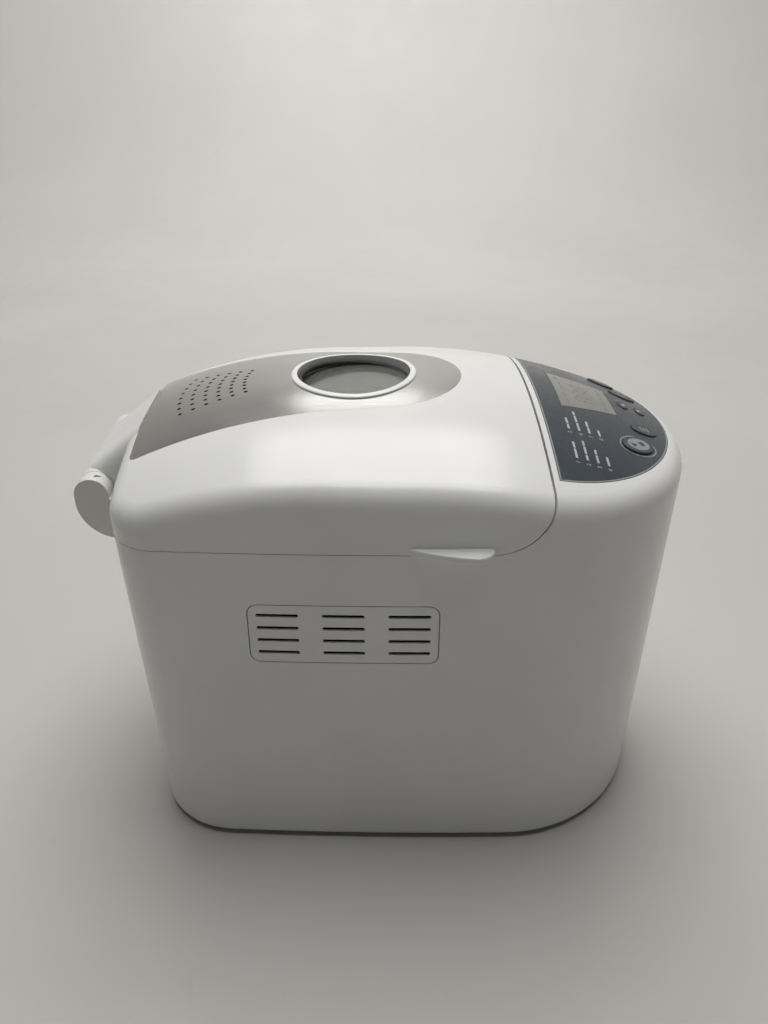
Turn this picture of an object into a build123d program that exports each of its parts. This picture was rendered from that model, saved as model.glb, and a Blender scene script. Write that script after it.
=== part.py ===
from build123d import *
import os
from math import asin, cos, radians, sin, sqrt, tan

# Bread machine. Millimetres, +Z up, the front (control panel) faces -Y, the lid hinge is at +Y.
# The origin is on the table, under the middle of the machine's bounding box.

# --- overall form -----------------------------------------------------------------------------
overall_width = 245.0
overall_depth = 381.0
crown_height = 288.2
foot_height = 5.0
wall = 2.5
widest_height = 238.0        # the walls lean in from this level down to the base
side_draft = 1.75
front_draft = 2.4
rear_draft = 0.8
nose_depth = 111.5           # depth of the half ellipse that makes the rounded front
rear_corner_radius = 29.0
rear_corner_growth = 0.11    # the rear corners open out toward the base, per unit of height
side_bow_radius = 2600.0
hinge_reach = 31.8           # how far the hinge stands behind the rear wall
shoulder_radius = 15.0       # rounding between crown and walls
crown_cross_radius = 305.0   # crown seen from the front
crown_front_radius = 392.0   # crown seen from the side, toward the front
crown_rear_radius = 340.0
crown_flat_front = -14.5
crown_flat_rear = 28.5

# --- lid split --------------------------------------------------------------------------------
seam_height = 225.3
seam_gap = 1.4               # between the lid's front edge and the console
seam_floor_gap = 0.4         # under the lid's side and rear edges
lid_front_y = -90.0          # the lid's front edge on the middle line
lid_front_bow_radius = 4000.0
lid_corner_radius = 35.0     # lower front corner of the lid, seen from the side
lid_lip = 3.6                # white strip between the lid's front edge and the control panel
tab_length = 54.6
tab_reach = 12.0
tab_thickness = 4.5
tab_front_y = -57.6
vent_arcs = 6
vent_holes_per_arc = 8
vent_hole_radius = 1.3
vent_first_radius = 69.0
vent_arc_pitch = 8.2
vent_angle_pitch = 4.5

# --- window and steel inlay in the lid ----------------------------------------------------------
window_y = 19.3
window_clear_radius = 35.7
bezel_width = 3.8
bezel_proud = 1.2            # over the crown, all the way round
bezel_round = 1.0
bezel_depth = 8.2            # from the bezel's top down to the glass
bezel_tilt = 2.4
glass_thickness = 3.0
glass_overlap = 2.5
inlay_thickness = 0.8
inlay_nose_radius = 48.5
inlay_flare = 6.5
inlay_rear_y = 150.5
inlay_tip_radius = 4.0

# --- control panel ------------------------------------------------------------------------------
panel_center_y = -89.5
panel_half_width = 103.0
panel_depth = 91.0
panel_thickness = 0.9
panel_fit = 0.15
lcd_width = 50.0
lcd_depth = 39.0
lcd_x = 3.0
lcd_y = -127.5
lcd_module_rim = 4.0
lcd_module_height = 8.0
board_width = 150.0
board_depth = 58.0
board_thickness = 1.6
board_y = -135.5
board_drop = 18.0            # below the panel surface, measured along the board's normal
board_post_radius = 3.0
button_travel = 0.8
button_proud = 0.6
button_fit = 0.35
button_stem_radius = 2.2
button_flange_reach = 1.4
button_flange_thickness = 1.0
switch_size = 6.0
switch_height = 3.5
# name: place across, place along, half length, half width and turn of the oval cap
buttons = {
    "button_start_stop": (-52.0, -151.5, 11.6, 8.0, -57.0),
    "button_menu": (-28.5, -161.0, 9.5, 6.0, -75.0),
    "button_time_up": (4.0, -155.0, 5.5, 3.6, 0.0),
    "button_time_down": (4.0, -166.5, 5.5, 3.6, 0.0),
    "button_loaf_size": (30.0, -161.0, 9.5, 6.0, 75.0),
    "button_crust": (52.0, -151.5, 9.5, 6.0, 57.0),
}

# --- side vent grilles --------------------------------------------------------------------------
grille_length = 110.0
grille_height = 40.6
grille_y = 25.7
grille_z = 170.4
grille_corner = 6.0
grille_groove = 0.6
grille_flange = 5.0
grille_flange_sheet = 2.0
grille_relief_rim = 3.0
slot_length = 24.6
slot_height = 2.3
slot_sheet = 1.4             # thickness left where the slots are
slot_column_pitch = 38.2
slot_row_pitch = 8.8
slot_columns = 3
slot_rows = 4

# --- hinge --------------------------------------------------------------------------------------
hinge_z = 229.0
knuckle_radius = 10.5
hinge_half_width = 52.0
ear_width = 12.0
lobe_gap = 0.5
hinge_pin_radius = 2.5
pin_clearance = 0.05
pin_cover = 3.0              # blind end of the pin's bore in each ear
bracket_low = 197.0
bracket_plate = 4.0
ear_sweep_radius = 26.0      # round lower back of the ears
ear_sweep_drop = 4.4         # its middle below the hinge
ear_notch = 3.6
lobe_top_back = 4.0          # top rear edge of the lid's lobe, behind and over the hinge
lobe_top_rise = 11.0

# --- baking chamber -----------------------------------------------------------------------------
chamber_y = 28.5
chamber_width = 190.0
chamber_depth = 140.0
chamber_corner = 30.0
chamber_sheet = 1.0
chamber_floor = 66.0
chamber_flange = 5.0
deck_opening_gap = 1.5
trim_lip = 4.5
trim_thickness = 1.2
pocket_inset = 3.0           # the lid's raised pocket inside the chamber's outline
pocket_corner = 24.0
leg_radius = 5.0
leg_spread_x = 74.0
leg_spread_y = 52.0
element_radius = 3.25
element_inset = 8.0          # from the chamber wall to the middle of the tube
element_height = 14.0        # from the chamber floor to the middle of the tube
element_corner = 22.0
terminal_spacing = 36.0
terminal_reach = 16.0
sensor_x = 45.0
sensor_z = 112.0
sensor_radius = 3.0
fuse_radius = 3.0
fuse_length = 22.0
fuse_rise = 40.0             # over the sensor
socket_flange_radius = 42.0
socket_flange_height = 3.0
socket_ring_wall = 4.0
socket_height = 14.0

# --- bread pan, paddle and bail -----------------------------------------------------------------
pan_width = 150.0
pan_depth = 114.0
pan_height = 120.0
pan_wall = 1.6
pan_corner = 26.0
pan_bottom = 86.0
pan_rim = 4.0
pan_rim_thickness = 2.0
pan_foot_radius = 30.7
pan_foot_wall = 3.5
seat_gap = 0.3
boss_radius = 12.0
boss_height = 8.0
paddle_hub_radius = 9.0
paddle_height = 22.0
paddle_cap = 5.0
paddle_reach = 42.0
paddle_blade = 6.0
bail_wire_radius = 2.5
bail_arm = 46.0
bail_rest_angle = 20.0
bail_pivot_below_rim = 10.0
bail_side_gap = 1.2          # between the rim and the bail's arms
pan_ear_radius = 7.0

# --- drive --------------------------------------------------------------------------------------
shaft_radius = 4.0
shaft_clearance = 0.05
driven_pulley_radius = 42.0
motor_pulley_radius = 9.0
pulley_low = 22.0
pulley_height = 12.0
pulley_rim = 1.6             # flange beyond the belt's running face
pulley_flange = 1.2
belt_thickness = 2.0
belt_gap = 0.3
bush_radius = 11.0
bush_low = 48.0
dog_reach = 16.0
dog_width = 8.0
dog_height = 7.0
lug_clearance = 0.6
motor_y = -126.5
motor_radius = 30.0
motor_height = 74.0
motor_low = 44.0
motor_shaft_radius = 3.0
motor_plate_width = 90.0
motor_plate_depth = 80.0
motor_plate_thickness = 2.0
motor_post_radius = 5.0

# --- base, electrics and fasteners --------------------------------------------------------------
base_thickness = 2.5
foot_radius = 9.0
foot_spread_x = 90.0
foot_front_y = -119.5
foot_rear_y = 104.0
screw_radius = 1.6
screw_head_radius = 3.2
screw_head_height = 1.6
capacitor_radius = 15.0
capacitor_height = 45.0
power_board_width = 44.0
power_board_depth = 62.0
gland_x = 70.0
gland_z = 30.0
gland_radius = 8.0

half_width = overall_width / 2
front_y = -overall_depth / 2
rear_wall_y = overall_depth / 2 - hinge_reach
nose_center_y = front_y + nose_depth
hinge_y = overall_depth / 2 - knuckle_radius
base_top = foot_height + base_thickness
deck_under = seam_height - wall
socket_top = chamber_floor + chamber_sheet + socket_flange_height
pan_top = pan_bottom + pan_height
dog_top = socket_top + 2.0 + dog_height
liner_brim = seam_height + 4.0
liner_sheet = 1.2
liner_ceiling = 261.0
bezel_top = crown_height + bezel_proud
button_shoulder = -wall - 0.8  # top of the hidden flange, measured from the panel surface
X_AXIS = (1, 0, 0)


# --- outline and solid helpers ------------------------------------------------------------------
def cylinder(radius, low, high, x=0.0, y=0.0):
    """Upright cylinder between two heights."""
    return Pos(x, y, (low + high) / 2) * Cylinder(radius, high - low)


def ring(outer, inner, low, high, x=0.0, y=0.0):
    return cylinder(outer, low, high, x, y) - cylinder(inner, low - 1, high + 1, x, y)


def rounded_block(width, depth, corner, low, high, x=0.0, y=0.0):
    """Upright block with rounded corners between two heights."""
    return Pos(x, y, low) * extrude(RectangleRounded(width, depth, corner), high - low)


def cross_cylinder(radius, x_low, x_high, y, z):
    """Cylinder along X."""
    return Pos((x_low + x_high) / 2, y, z) * Rot(0, 90, 0) * Cylinder(radius, x_high - x_low)


def side_profile(points, half_span):
    """Solid of a side outline in the YZ plane, as wide as twice the half span."""
    face = make_face(Polyline(*[(0, y, z) for y, z in points], close=True))
    return extrude(face, half_span, dir=X_AXIS, both=True)


# --- outer form ---------------------------------------------------------------------------------
def plan_face(z, inset):
    """The machine's outline at one height: flat rear, slightly bowed sides, half-ellipse front."""
    drop = widest_height - z
    half = half_width - drop * tan(radians(side_draft)) - inset
    nose = nose_depth - drop * tan(radians(front_draft)) - inset
    rear = rear_wall_y - drop * tan(radians(rear_draft)) - inset
    turn = asin((rear - nose_center_y) / side_bow_radius)

    def side(angle, hand):
        x = half - side_bow_radius * (1 - cos(angle))
        return (hand * x, nose_center_y + side_bow_radius * sin(angle))

    nose_arc = EllipticalCenterArc((0, nose_center_y), half, nose, start_angle=180, arc_size=180)
    right = ThreePointArc(side(0, 1), side(turn / 2, 1), side(turn, 1))
    back = Line(side(turn, 1), side(turn, -1))
    left = ThreePointArc(side(turn, -1), side(turn / 2, -1), side(0, -1))
    face = make_face([nose_arc, right, back, left])
    corner = rear_corner_radius + rear_corner_growth * drop - inset
    face = fillet(face.vertices().sort_by(Axis.Y)[-2:], corner)
    return Pos(0, 0, z) * face


def walls(inset, low, high):
    """Leaning walls without the crown."""
    return loft([plan_face(low, inset), plan_face(high, inset)])


def above_crown(inset):
    """Everything above the crown surface, as three solids: front slope, flat middle, rear slope."""
    radius = crown_cross_radius - inset
    top = crown_height - inset
    reach = overall_width * 0.6
    clear = crown_height + 95
    dip = radius - sqrt(radius * radius - reach * reach)
    arc = ThreePointArc((-reach, top - dip), (0, top), (reach, top - dip))
    rest = Polyline((reach, top - dip), (reach, clear), (-reach, clear), (-reach, top - dip))
    face = Plane.XZ * make_face([arc, rest])
    middle = Pos(0, crown_flat_rear, 0) * extrude(face, crown_flat_rear - crown_flat_front)
    front_axis = Axis((0, crown_flat_front, crown_height - crown_front_radius), (1, 0, 0))
    rear_axis = Axis((0, crown_flat_rear, crown_height - crown_rear_radius), (-1, 0, 0))
    front = revolve(Pos(0, crown_flat_front, 0) * face, front_axis, 45)
    rear = revolve(Pos(0, crown_flat_rear, 0) * face, rear_axis, 45)
    return [front, middle, rear]


def form(inset, low):
    """Closed outer form, or its inner offset, with the rounded shoulder."""
    solid = walls(inset, low, crown_height + 20)
    for piece in above_crown(inset):
        solid -= piece
    rim = []
    for edge in solid.edges():
        middle = edge.position_at(0.5)
        on_flat = crown_flat_front - 1 < middle.Y < crown_flat_rear + 1
        if middle.Z > seam_height + 5 and not (abs(middle.X) < 1 and on_flat):
            rim.append(edge)
    return fillet(rim, shoulder_radius - inset)


def crown_z(x, y):
    """Height of the crown surface."""
    if y < crown_flat_front:
        radius = crown_front_radius
        run = crown_flat_front - y
    else:
        radius = crown_rear_radius
        run = max(0.0, y - crown_flat_rear)
    across = crown_cross_radius - sqrt(crown_cross_radius ** 2 - x ** 2)
    return crown_height - across * sqrt(1 - (run / radius) ** 2) - radius + sqrt(radius ** 2 - run ** 2)


def crown_normal(x, y):
    """Outward unit normal of the crown surface."""
    step = 0.5
    slope_x = (crown_z(x + step, y) - crown_z(x - step, y)) / (2 * step)
    slope_y = (crown_z(x, y + step) - crown_z(x, y - step)) / (2 * step)
    return Vector(-slope_x, -slope_y, 1).normalized()


def skin(outline, depth, outer):
    """A sheet that follows the outer surface down to a depth, inside an upright outline."""
    column = Pos(0, 0, seam_height) * extrude(outline, crown_height)
    return (column & outer) - form(depth, foot_height - 1)


def console_line(offset):
    """Disc whose rear arc is the console's edge under the lid, moved back by an offset."""
    center_y = lid_front_y - lid_front_bow_radius
    return Pos(0, center_y) * Circle(lid_front_bow_radius + offset)


def lid_space(front_gap, floor_gap):
    """Space that belongs to the lid: above the seam, behind its bowed front edge."""
    edge = lid_front_y + front_gap
    low = seam_height + floor_gap
    corner = lid_corner_radius - front_gap
    far = rear_wall_y + 120
    high = crown_height + 90
    lines = Polyline((0, edge, low + corner), (0, edge, high), (0, far, high), (0, far, low),
                     (0, edge + corner, low))
    bend = corner * (1 - sin(radians(45)))
    arc = ThreePointArc((0, edge + corner, low), (0, edge + bend, low + bend),
                        (0, edge, low + corner))
    axis = Axis((0, lid_front_y - lid_front_bow_radius, 0), (0, 0, 1))
    spread = 9.0
    profile = make_face([lines, arc]).rotate(axis, -spread)
    return revolve(profile, axis, 2 * spread)


# --- control panel geometry ---------------------------------------------------------------------
def panel_outline(clearance):
    """Half-ellipse outline of the control panel, its rear edge parallel to the lid's edge."""
    oval = Pos(0, panel_center_y) * Ellipse(panel_half_width + clearance, panel_depth + clearance)
    outline = oval & console_line(clearance - lid_lip)
    return outline


def surface_plane(x, y):
    """Plane on the crown, its Z along the outward normal."""
    normal = crown_normal(x, y)
    across = Vector(1, 0, 0) - normal * normal.X
    return Plane(origin=(x, y, crown_z(x, y)), x_dir=across, z_dir=normal)


def board_plane():
    """Top face of the control board, parallel to the crown on the middle line."""
    top = surface_plane(0, board_y)
    return Plane(origin=top.origin - top.z_dir * board_drop, x_dir=X_AXIS, z_dir=top.z_dir)


def stem_drop(x, y):
    """Distance from the panel surface down a button's axis to the control board."""
    cap = surface_plane(x, y)
    board = board_plane()
    return (cap.origin - board.origin).dot(board.z_dir) / cap.z_dir.dot(board.z_dir)


def oval_prism(x, y, half_long, half_short, turn, low, high):
    """Oval column along the surface normal, between two heights over the surface."""
    plane = surface_plane(x, y).offset(low)
    return extrude(plane * (Rot(0, 0, turn) * Ellipse(half_long, half_short)), high - low)


def button_holes():
    holes = []
    for x, y, half_long, half_short, turn in buttons.values():
        hole = oval_prism(x, y, half_long + button_fit, half_short + button_fit, turn, -wall - 3, 3)
        holes.append(hole)
    return holes


def button_reliefs():
    """Room under the console for the buttons' flanges."""
    reliefs = []
    reach = button_flange_reach + button_fit
    low = button_shoulder - button_flange_thickness - button_travel - 4
    for x, y, half_long, half_short, turn in buttons.values():
        reliefs.append(oval_prism(x, y, half_long + reach, half_short + reach, turn, low,
                                  button_shoulder + 0.3))
    return reliefs


def make_button(x, y, half_long, half_short, turn):
    """Oval cap with a hidden flange and a stem down to its switch."""
    cap = oval_prism(x, y, half_long, half_short, turn, button_shoulder, button_proud)
    cap = fillet(cap.faces().sort_by(Axis.Z)[-1].edges(), 0.4)
    flange_low = button_shoulder - button_flange_thickness
    flange = oval_prism(x, y, half_long + button_flange_reach, half_short + button_flange_reach,
                        turn, flange_low, button_shoulder)
    stem_end = -stem_drop(x, y) + switch_height + button_travel + 0.4
    stem = oval_prism(x, y, button_stem_radius, button_stem_radius, 0, stem_end, flange_low)
    return cap + flange + stem


def board_local(x, y):
    """Where a button's axis meets the control board, in the board's own plane."""
    cap = surface_plane(x, y)
    foot = cap.origin - cap.z_dir * stem_drop(x, y)
    return board_plane().to_local_coords(foot)


def make_switches():
    pieces = []
    for x, y, *_ in buttons.values():
        foot = board_local(x, y)
        body = Pos(foot.X, foot.Y, switch_height / 2) * Box(switch_size, switch_size, switch_height)
        pieces.append(board_plane() * body)
    return pieces


def make_control_board():
    slab = Pos(0, 0, -board_thickness / 2) * Box(board_width, board_depth, board_thickness)
    return board_plane() * slab


def board_post_places():
    margin = board_post_radius + 1
    half_x = board_width / 2 - margin
    half_y = board_depth / 2 - margin
    return [(i * half_x, j * half_y) for i in (-1, 1) for j in (-1, 1)]


def board_posts():
    """Posts that hang the control board under the console."""
    return [board_plane() * cylinder(board_post_radius, 0, board_drop + 5, x, y)
            for x, y in board_post_places()]


def make_lcd_module():
    place = board_local(lcd_x, lcd_y)
    body = Box(lcd_width + 2 * lcd_module_rim, lcd_depth + 2 * lcd_module_rim, lcd_module_height)
    return board_plane() * Pos(place.X, place.Y, lcd_module_height / 2) * body


def lcd_opening():
    plane = surface_plane(lcd_x, lcd_y).offset(-board_drop)
    return extrude(plane * Rectangle(lcd_width, lcd_depth), board_drop + 5)


# --- outer casing -------------------------------------------------------------------------------
def grille_block(hand, margin, x_from, x_to):
    """Rounded block along X through a side wall, at the grille's place."""
    outline = RectangleRounded(grille_length + 2 * margin, grille_height + 2 * margin,
                               grille_corner + margin)
    plane = Plane(origin=(hand * x_from, grille_y, grille_z), x_dir=(0, 1, 0), z_dir=(hand, 0, 0))
    return extrude(plane * outline, x_to - x_from)


def make_outer_body(outer, inner):
    """Walls, deck and console in one moulding, open underneath."""
    cavity = inner - lid_space(-wall, -wall)
    body = outer - lid_space(0, 0) - cavity
    opening = 2 * (chamber_sheet + deck_opening_gap)
    body -= rounded_block(chamber_width + opening, chamber_depth + opening,
                          chamber_corner + opening / 2, deck_under - 5, seam_height + 5, 0, chamber_y)
    for hand in (-1, 1):
        body -= grille_block(hand, grille_groove, half_width - 15, half_width + 5)
    body -= skin(panel_outline(panel_fit), panel_thickness, outer)
    for hole in button_holes() + button_reliefs():
        body -= hole
    body -= lcd_opening()
    posts = [post & inner for post in board_posts()]
    for post in posts:
        body += post
    rear = rear_wall_y - (widest_height - gland_z) * tan(radians(rear_draft))
    body -= Pos(gland_x, rear, gland_z) * Rot(90, 0, 0) * Cylinder(gland_radius, 20)
    for x in bracket_screw_xs():
        body -= Pos(x, rear_wall_y, bracket_low + 12) * Rot(90, 0, 0) * Cylinder(screw_radius, 40)
    return body


def make_vent_grille(hand, outer, inner):
    """Slotted insert: its face fills the wall's opening, its flange lies on the inside."""
    inner_skin = form(wall + grille_flange_sheet, foot_height - 1)
    face = (grille_block(hand, 0, half_width - 15, half_width + 5) & outer) - inner
    flange = (grille_block(hand, grille_flange, half_width - 20, half_width + 5) & inner) - inner_skin
    insert = face + flange
    behind = form(slot_sheet, foot_height - 1)
    insert -= grille_block(hand, -grille_relief_rim, half_width - 20, half_width + 5) & behind
    for column in range(slot_columns):
        for row in range(slot_rows):
            y = grille_y + (column - (slot_columns - 1) / 2) * slot_column_pitch
            z = grille_z + ((slot_rows - 1) / 2 - row) * slot_row_pitch
            plane = Plane(origin=(hand * (half_width - 20), y, z), x_dir=(0, 1, 0),
                          z_dir=(hand, 0, 0))
            insert -= extrude(plane * SlotOverall(slot_length, slot_height), 30)
    return insert


def make_control_panel(outer):
    panel = skin(panel_outline(0), panel_thickness, outer)
    for hole in button_holes():
        panel -= hole
    return panel


def foot_places():
    return [(i * foot_spread_x, y) for i in (-1, 1) for y in (foot_front_y, foot_rear_y)]


def make_base_plate():
    """Floor of the casing, with the lower bearing of the drive shaft."""
    plate = walls(wall, foot_height, base_top)
    boss = cylinder(shaft_radius + 6, base_top, base_top + 8, 0, chamber_y)
    bore = cylinder(shaft_radius + shaft_clearance, base_top + 0.5, base_top + 9, 0, chamber_y)
    plate = plate + boss - bore
    for x, y in base_screw_places():
        plate -= cylinder(screw_radius, foot_height - 1, base_top + 1, x, y)
    return plate


def make_feet():
    feet = []
    for x, y in foot_places():
        pad = cylinder(foot_radius, 0, foot_height, x, y)
        feet.append(fillet(pad.edges().sort_by(Axis.Z)[:1], 1.2))
    return feet


def base_screw_places():
    places = [(i * (foot_spread_x - 22), y) for i in (-1, 1) for y in (foot_front_y, foot_rear_y)]
    return places + [(i * (foot_spread_x + 10), 0.0) for i in (-1, 1)]


def screw(length):
    """Pan-head screw: head from z = 0 down, shank up."""
    head = cylinder(screw_head_radius, -screw_head_height, 0)
    return head + cylinder(screw_radius, 0, length)


def make_base_screws():
    return [Pos(x, y, foot_height) * screw(8) for x, y in base_screw_places()]


# --- hinge --------------------------------------------------------------------------------------
def rear_wall_at(z):
    return rear_wall_y - (widest_height - z) * tan(radians(rear_draft))


def ear_side_outline():
    """Ear seen from the side: round knuckle on a web whose back sweeps round to the wall."""
    knuckle = Pos(hinge_y, hinge_z) * Circle(knuckle_radius)
    back = hinge_y + knuckle_radius
    inside = rear_wall_at(bracket_low) - 3
    web = make_face(Polyline((inside, bracket_low), (inside, seam_height - 3), (hinge_y, hinge_z),
                             (back, hinge_z), (back, bracket_low), close=True))
    sweep_disc = Pos(back - ear_sweep_radius, hinge_z - ear_sweep_drop) * Circle(ear_sweep_radius)
    return Plane.YZ * (knuckle + (web & sweep_disc))


def make_hinge_bracket(outer):
    """Two ears on a plate that is screwed to the rear wall."""
    ears = []
    for hand in (-1, 1):
        near = hinge_half_width - ear_width
        ear = Pos(hand * (near + ear_width / 2), 0, 0) * extrude(ear_side_outline(), ear_width / 2,
                                                               both=True)
        ears.append(ear)
    plate_points = [(rear_wall_at(bracket_low) - 4, bracket_low),
                    (rear_wall_at(bracket_low) - 4, seam_height - 3),
                    (rear_wall_at(seam_height) + bracket_plate, seam_height - 3),
                    (rear_wall_at(bracket_low) + bracket_plate, bracket_low)]
    bracket = side_profile(plate_points, hinge_half_width) + ears[0] + ears[1]
    bracket -= outer
    bored = hinge_half_width - pin_cover
    bracket -= cross_cylinder(hinge_pin_radius, -bored, bored, hinge_y, hinge_z)
    for hand in (-1, 1):
        place = Pos(hand * (hinge_half_width - ear_width / 2), hinge_y - ear_notch,
                    hinge_z + knuckle_radius)
        bracket -= place * Box(ear_notch, ear_notch, ear_notch)
    for x in bracket_screw_xs():
        bracket -= Pos(x, rear_wall_y, bracket_low + 12) * Rot(90, 0, 0) * Cylinder(screw_radius, 40)
    return bracket


def bracket_screw_xs():
    return [-36.0, -12.0, 12.0, 36.0]


def make_bracket_screws():
    face_y = rear_wall_at(bracket_low + 12) + bracket_plate + 0.4
    return [Pos(x, face_y, bracket_low + 12) * Rot(90, 0, 0) * screw(12) for x in bracket_screw_xs()]


def make_hinge_pins():
    pins = []
    for hand in (-1, 1):
        low, high = sorted((hand * (hinge_half_width - 28), hand * (hinge_half_width - pin_cover)))
        pins.append(cross_cylinder(hinge_pin_radius, low, high, hinge_y, hinge_z))
    return pins


def make_lid_lobe(inner):
    """Rear lobe of the lid: covers the hinge and carries the barrel between the ears."""
    half_span = hinge_half_width - ear_width - lobe_gap
    start = rear_wall_at(seam_height) - 8
    low = seam_height + seam_floor_gap
    top_y = hinge_y + lobe_top_back
    top_z = hinge_z + lobe_top_rise
    top_points = [(start, low), (start, crown_z(0, start) + 0.3), (top_y, top_z),
                  (hinge_y + knuckle_radius, hinge_z), (hinge_y, low)]
    lobe = side_profile(top_points, half_span)
    corner = lobe.edges().filter_by(Axis.X).sort_by(lambda e: abs(e.center().Y - top_y)
                                                     + abs(e.center().Z - top_z))[0]
    lobe = fillet(corner, 6)
    ends = lobe.edges().filter_by(lambda e: abs(abs(e.center().X) - half_span) < 0.1
                                  and e.center().Z > hinge_z + 8 and e.center().Y > start + 1)
    lobe = fillet(ends, 10)
    barrel = cross_cylinder(knuckle_radius, -half_span, half_span, hinge_y, hinge_z)
    bore = cross_cylinder(hinge_pin_radius + pin_clearance, -half_span - 1, half_span + 1,
                          hinge_y, hinge_z)
    return (lobe - inner) + barrel, bore


# --- lid ----------------------------------------------------------------------------------------
def make_lid_tab(hand, outer):
    """Finger tab on a side edge of the lid: deepest near its blunt front end."""
    wall_x = half_width - 5
    tip_x = half_width + tab_reach - 1.5
    rear_y = tab_front_y + tab_length
    outline = make_face([
        Line((wall_x, rear_y), (wall_x, tab_front_y)),
        ThreePointArc((wall_x, tab_front_y), (tip_x - 3, tab_front_y + 2.4), (tip_x, tab_front_y + 9)),
        ThreePointArc((tip_x, tab_front_y + 9), (tip_x - 3.5, tab_front_y + 26), (wall_x, rear_y)),
    ])
    low = seam_height + seam_floor_gap
    tab = Pos(0, 0, low) * extrude(outline, tab_thickness)
    tab = fillet(tab.edges().filter_by(lambda e: e.center().X > wall_x + 1
                                       and abs(e.tangent_at(0.5).Z) < 0.5), 1.2)
    if hand < 0:
        tab = mirror(tab, about=Plane.YZ)
    return tab - outer


def inlay_outline(clearance):
    """Keyhole outline: round in front of the window, flaring straight sides, slanted rear."""
    radius = inlay_nose_radius + clearance
    flare = radians(inlay_flare)
    start = (radius * cos(flare), -radius * sin(flare))
    run = inlay_rear_y + clearance - start[1]
    end = (start[0] + run * tan(flare), inlay_rear_y + clearance)
    face = make_face([
        ThreePointArc((-start[0], start[1]), (0, -radius), (start[0], start[1])),
        Line((start[0], start[1]), end),
        Line(end, (-end[0], end[1])),
        Line((-end[0], end[1]), (-start[0], start[1])),
    ])
    return fillet(face.vertices().sort_by(Axis.Y)[-2:], inlay_tip_radius)


def vent_holes():
    """Arcs of small holes behind the window, concentric with it."""
    holes = []
    for i in range(vent_arcs):
        radius = vent_first_radius + i * vent_arc_pitch
        for j in range(vent_holes_per_arc):
            angle = radians((j - (vent_holes_per_arc - 1) / 2) * vent_angle_pitch)
            x = radius * sin(angle)
            y = window_y + radius * cos(angle)
            holes.append(cylinder(vent_hole_radius, liner_ceiling + 2, crown_height + 5, x, y))
    return holes


def bezel_place():
    return Pos(0, window_y, bezel_top) * Rot(-bezel_tilt, 0, 0)


def window_column(radius, low, high):
    """Cylinder on the window's tilted axis, heights measured from the bezel's top."""
    return bezel_place() * cylinder(radius, low, high)


def make_lid_shell(outer, inner):
    shell = outer & lid_space(seam_gap, seam_floor_gap)
    shell -= inner & lid_space(seam_gap + wall, -10)
    lobe, bore = make_lid_lobe(inner)
    shell += lobe
    shell -= bore
    for hand in (-1, 1):
        shell += make_lid_tab(hand, outer)
    shell -= skin(inlay_outline(0.1), inlay_thickness, outer)
    for hole in vent_holes():
        shell -= hole
    shell -= window_column(window_clear_radius + bezel_width - 1.5, -40, 10)
    return shell


def make_lid_inlay(outer):
    inlay = skin(inlay_outline(0), inlay_thickness, outer)
    for hole in vent_holes():
        inlay -= hole
    return inlay - window_column(window_clear_radius + bezel_width - 1.5, -40, 10)


def make_window_bezel():
    """White ring: a low rounded collar that follows the crown, a sleeve down through the lid."""
    outer_radius = window_clear_radius + bezel_width
    collar = window_column(outer_radius, -bezel_depth, 5)
    for piece in above_crown(-bezel_proud):
        collar -= piece
    collar = fillet(collar.edges().filter_by(GeomType.BSPLINE), bezel_round)
    proud = None
    for piece in above_crown(0):
        part_above = collar & piece
        proud = part_above if proud is None else proud + part_above
    sleeve = window_column(outer_radius - 1.5, -bezel_depth, 5)
    for piece in above_crown(-bezel_proud / 2):
        sleeve -= piece
    bezel = proud + sleeve
    return bezel - window_column(window_clear_radius, -30, 5)


def make_window_glass():
    radius = window_clear_radius + glass_overlap
    return window_column(radius, -bezel_depth - glass_thickness, -bezel_depth)


def make_window_tube():
    """Seal sleeve between the glass and the liner's ceiling."""
    radius = window_clear_radius + glass_overlap
    tube = window_column(radius, -40, -bezel_depth - glass_thickness)
    tube -= window_column(radius - 3, -50, 0)
    return tube - rounded_block(200, 200, 5, 200, liner_ceiling + liner_sheet, 0, window_y)


def recess_block(margin, low, high):
    width = chamber_width + 2 * (margin - pocket_inset)
    depth = chamber_depth + 2 * (margin - pocket_inset)
    return rounded_block(width, depth, pocket_corner + margin, low, high, 0, chamber_y)


def make_lid_liner(inner):
    """Pressed sheet inside the lid: a brim on the lid's walls and a raised pocket over the pan."""
    space = inner & lid_space(seam_gap + wall, 0)
    slab = Pos(0, 0, liner_brim + liner_sheet / 2) * Box(400, 500, liner_sheet)
    brim = space & slab
    pocket = recess_block(liner_sheet, liner_brim, liner_ceiling + liner_sheet)
    liner = brim + pocket
    liner -= recess_block(0, liner_brim - 1, liner_ceiling)
    return liner - window_column(window_clear_radius + glass_overlap - 3, -60, 0)


def make_lid_seal():
    """Soft ring under the liner's brim, round the chamber opening."""
    low = seam_height + trim_thickness + 0.3
    outer_ring = rounded_block(chamber_width + 8, chamber_depth + 8, chamber_corner + 4,
                               low, liner_brim, 0, chamber_y)
    inner_ring = rounded_block(chamber_width - 2, chamber_depth - 2, chamber_corner - 1,
                               low - 1, liner_brim + 1, 0, chamber_y)
    return outer_ring - inner_ring


# --- baking chamber -----------------------------------------------------------------------------
def chamber_block(margin, low, high):
    return rounded_block(chamber_width + 2 * margin, chamber_depth + 2 * margin,
                         chamber_corner + margin, low, high, 0, chamber_y)


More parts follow.
